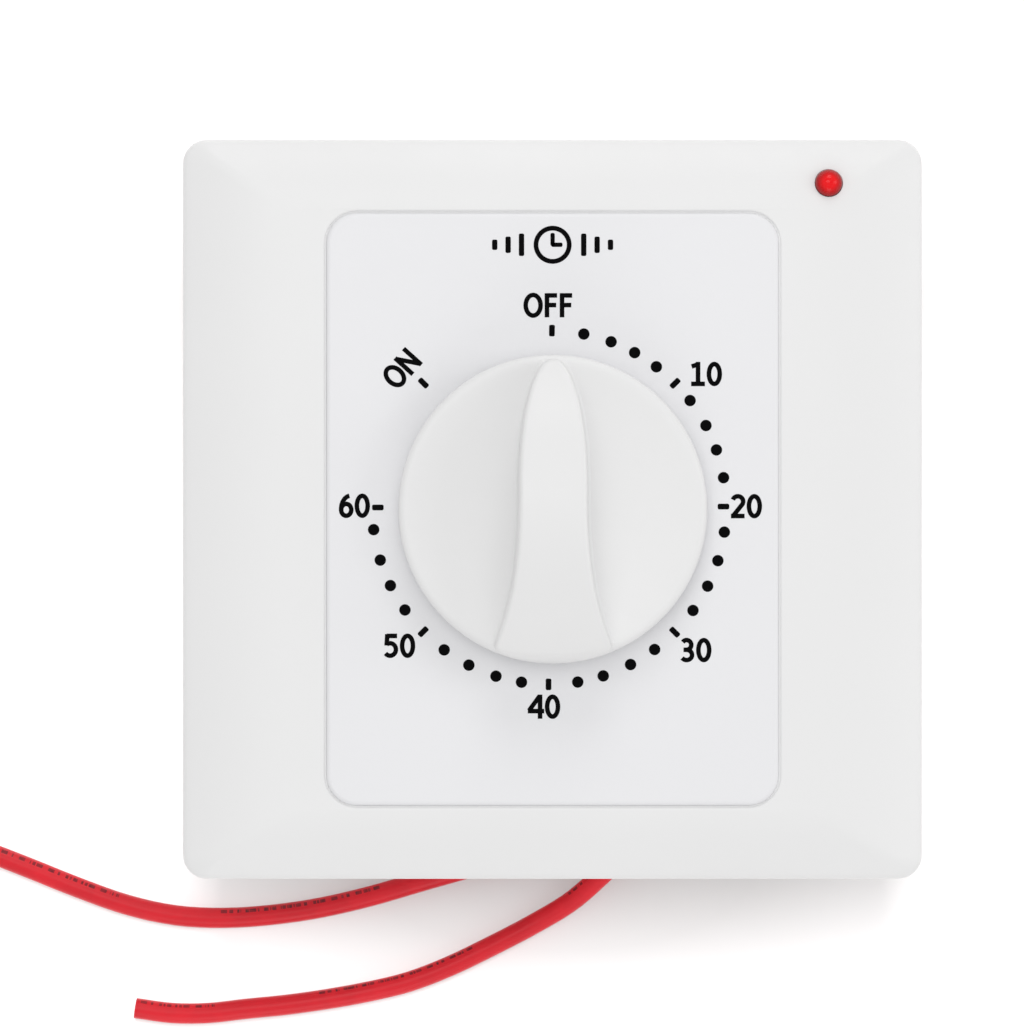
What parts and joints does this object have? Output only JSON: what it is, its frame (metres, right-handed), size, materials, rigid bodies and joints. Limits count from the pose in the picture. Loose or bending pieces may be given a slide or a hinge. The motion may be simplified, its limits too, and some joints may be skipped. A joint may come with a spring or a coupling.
{
  "type": "countdown timer wall switch",
  "caption": "Square wall plate with a round pointer knob over a minute dial, an indicator lamp, a clockwork countdown movement and cam switch in a rear box, and two free leads.",
  "frame": {"origin": "middle of the rear cover's back face, on which the switch lies", "axes": "+Z out of the front, +Y to the OFF mark at the top of the dial, +X to the right of the dial"},
  "size_m": [0.1253, 0.1061, 0.0527],
  "materials": {
    "plate_white": "satin moulded white",
    "panel_white": "satin white with a printed dial",
    "knob_white": "satin moulded white",
    "base_white": "moulded off-white",
    "screw_steel": "zinc plated",
    "plate_steel": "stamped and plated",
    "spring_steel": "blued",
    "clock_brass": "stamped brass",
    "contact_bronze": "phosphor bronze",
    "cam_black": "moulded black",
    "insulator_brown": "pressed phenolic",
    "sleeve_black": "shrunk sleeve",
    "grommet_rubber": "soft black",
    "lead_red": "soft red insulation",
    "lens_red": "clear red lens",
    "resistor_tan": "lacquered"
  },
  "bodies": {
    "case": {"outer_frame": "plate_white", "dial_panel": "panel_white", "mounting_plate": "base_white", "rear_housing": "base_white", "rear_cover": "base_white", "cover_screws": "screw_steel", "housing_screws": "screw_steel", "front_plate": "plate_steel", "back_plate": "plate_steel", "pillars": "clock_brass", "pillar_screws": "screw_steel", "timer_screws": "screw_steel", "shaft_bush": "clock_brass", "mainspring": "spring_steel", "spring_post": "screw_steel", "contact_base": "insulator_brown", "contact_screws": "screw_steel", "moving_contact": "contact_bronze", "fixed_contact": "clock_brass", "terminal_sleeves": "sleeve_black", "inner_leads": "lead_red", "wire_grommets": "grommet_rubber", "lead_left": "lead_red", "lead_right": "lead_red", "led": "lens_red", "led_holder": "base_white", "led_resistor": "resistor_tan", "led_leads": "lead_red"},
    "knob_shaft": {"knob": "knob_white", "knob_clip": "spring_steel", "winding_shaft": "screw_steel", "shaft_clip": "spring_steel", "main_wheel": "clock_brass", "clutch_spring": "spring_steel", "switch_cam": "cam_black"},
    "second_arbor": {"second_pinion": "screw_steel", "second_wheel": "clock_brass"},
    "third_arbor": {"third_pinion": "screw_steel", "third_wheel": "clock_brass"},
    "escape_arbor": {"escape_pinion": "screw_steel", "escape_wheel": "clock_brass"},
    "verge_arbor": {"verge": "screw_steel", "balance_ring": "clock_brass"}
  },
  "joints": [
    {"name": "knob_turn", "type": "hinge", "parent": "case", "child": "knob_shaft", "pos_m": [0, 0, 0], "axis": [0, 0, -1], "range_deg": [-45, 270], "deforming": ["mainspring", "moving_contact"]},
    {"name": "second_turn", "type": "hinge", "parent": "case", "child": "second_arbor", "pos_m": [-0.007, 0.01212, 0], "axis": [0, 0, -1], "range_deg": [-1620, 270]},
    {"name": "third_turn", "type": "hinge", "parent": "case", "child": "third_arbor", "pos_m": [0.00247, 0.01466, 0], "axis": [0, 0, -1], "range_deg": [-1620, 9720]},
    {"name": "escape_turn", "type": "hinge", "parent": "case", "child": "escape_arbor", "pos_m": [0.00974, 0.01046, 0], "axis": [0, 0, -1], "range_deg": [-58320, 9720]},
    {"name": "verge_rock", "type": "hinge", "parent": "case", "child": "verge_arbor", "pos_m": [0.01566, 0.00831, 0], "axis": [0, 0, -1], "range_deg": [-5, 5]}
  ],
  "couplings": [
    {"joint": "second_turn", "follows": "knob_turn", "ratio": -6},
    {"joint": "third_turn", "follows": "knob_turn", "ratio": 36},
    {"joint": "escape_turn", "follows": "knob_turn", "ratio": -216}
  ]
}
